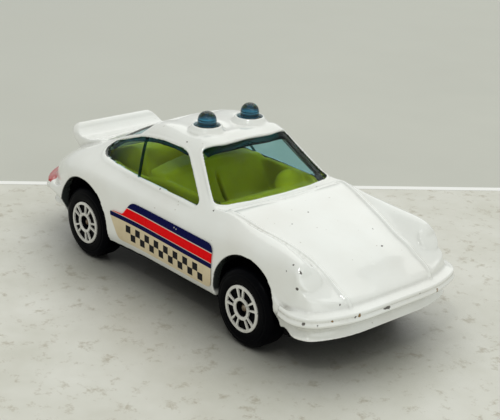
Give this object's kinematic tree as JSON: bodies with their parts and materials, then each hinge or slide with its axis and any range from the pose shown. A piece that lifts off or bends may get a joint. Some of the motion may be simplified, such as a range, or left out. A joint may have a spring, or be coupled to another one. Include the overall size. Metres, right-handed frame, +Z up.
{
  "type": "diecast toy car",
  "caption": "Rear-engined patrol coupe toy with a tail wing, roof beacons, tinted glazing and free-rolling wheels, for small-world pretend play.",
  "frame": {"origin": "on the ground midway along the car, under the centre of its outline", "axes": "+X to the nose, +Y to the car's left side, +Z up"},
  "size_m": [0.0718, 0.03, 0.027],
  "materials": {
    "enamel": "gloss warm white enamel with small chips",
    "tinted_glazing": "clear blue-green tinted moulding",
    "interior": "satin yellow moulding",
    "base": "satin black moulding",
    "axle_wire": "dull drawn wire",
    "wheel_plastic": "satin black moulding",
    "hub_disc": "off-white, slightly worn",
    "label": "glossy printed sticker, navy, red and cream"
  },
  "bodies": {
    "car_body": {"body_shell": "enamel", "glazing": "tinted_glazing", "interior_tub": "interior", "base_plate": "base", "door_label_left": "label", "door_label_right": "label"},
    "front_axle_wire": {"front_axle": "axle_wire"},
    "rear_axle_wire": {"rear_axle": "axle_wire"},
    "front_left_wheel": {"wheel_front_left": "wheel_plastic", "hub_disc_front_left": "hub_disc"},
    "front_right_wheel": {"wheel_front_right": "wheel_plastic", "hub_disc_front_right": "hub_disc"},
    "rear_left_wheel": {"wheel_rear_left": "wheel_plastic", "hub_disc_rear_left": "hub_disc"},
    "rear_right_wheel": {"wheel_rear_right": "wheel_plastic", "hub_disc_rear_right": "hub_disc"}
  },
  "joints": [
    {"name": "front_axle_spin", "type": "hinge", "parent": "car_body", "child": "front_axle_wire", "pos_m": [0.02, 0, 0.00565], "axis": [0, 1, 0], "continuous": true},
    {"name": "front_left_wheel_spin", "type": "hinge", "parent": "front_axle_wire", "child": "front_left_wheel", "pos_m": [0.02, 0.0114, 0.00565], "axis": [0, 1, 0], "continuous": true},
    {"name": "front_right_wheel_spin", "type": "hinge", "parent": "front_axle_wire", "child": "front_right_wheel", "pos_m": [0.02, -0.0114, 0.00565], "axis": [0, 1, 0], "continuous": true},
    {"name": "rear_axle_spin", "type": "hinge", "parent": "car_body", "child": "rear_axle_wire", "pos_m": [-0.018, 0, 0.00565], "axis": [0, 1, 0], "continuous": true},
    {"name": "rear_left_wheel_spin", "type": "hinge", "parent": "rear_axle_wire", "child": "rear_left_wheel", "pos_m": [-0.018, 0.0114, 0.00565], "axis": [0, 1, 0], "continuous": true},
    {"name": "rear_right_wheel_spin", "type": "hinge", "parent": "rear_axle_wire", "child": "rear_right_wheel", "pos_m": [-0.018, -0.0114, 0.00565], "axis": [0, 1, 0], "continuous": true}
  ]
}
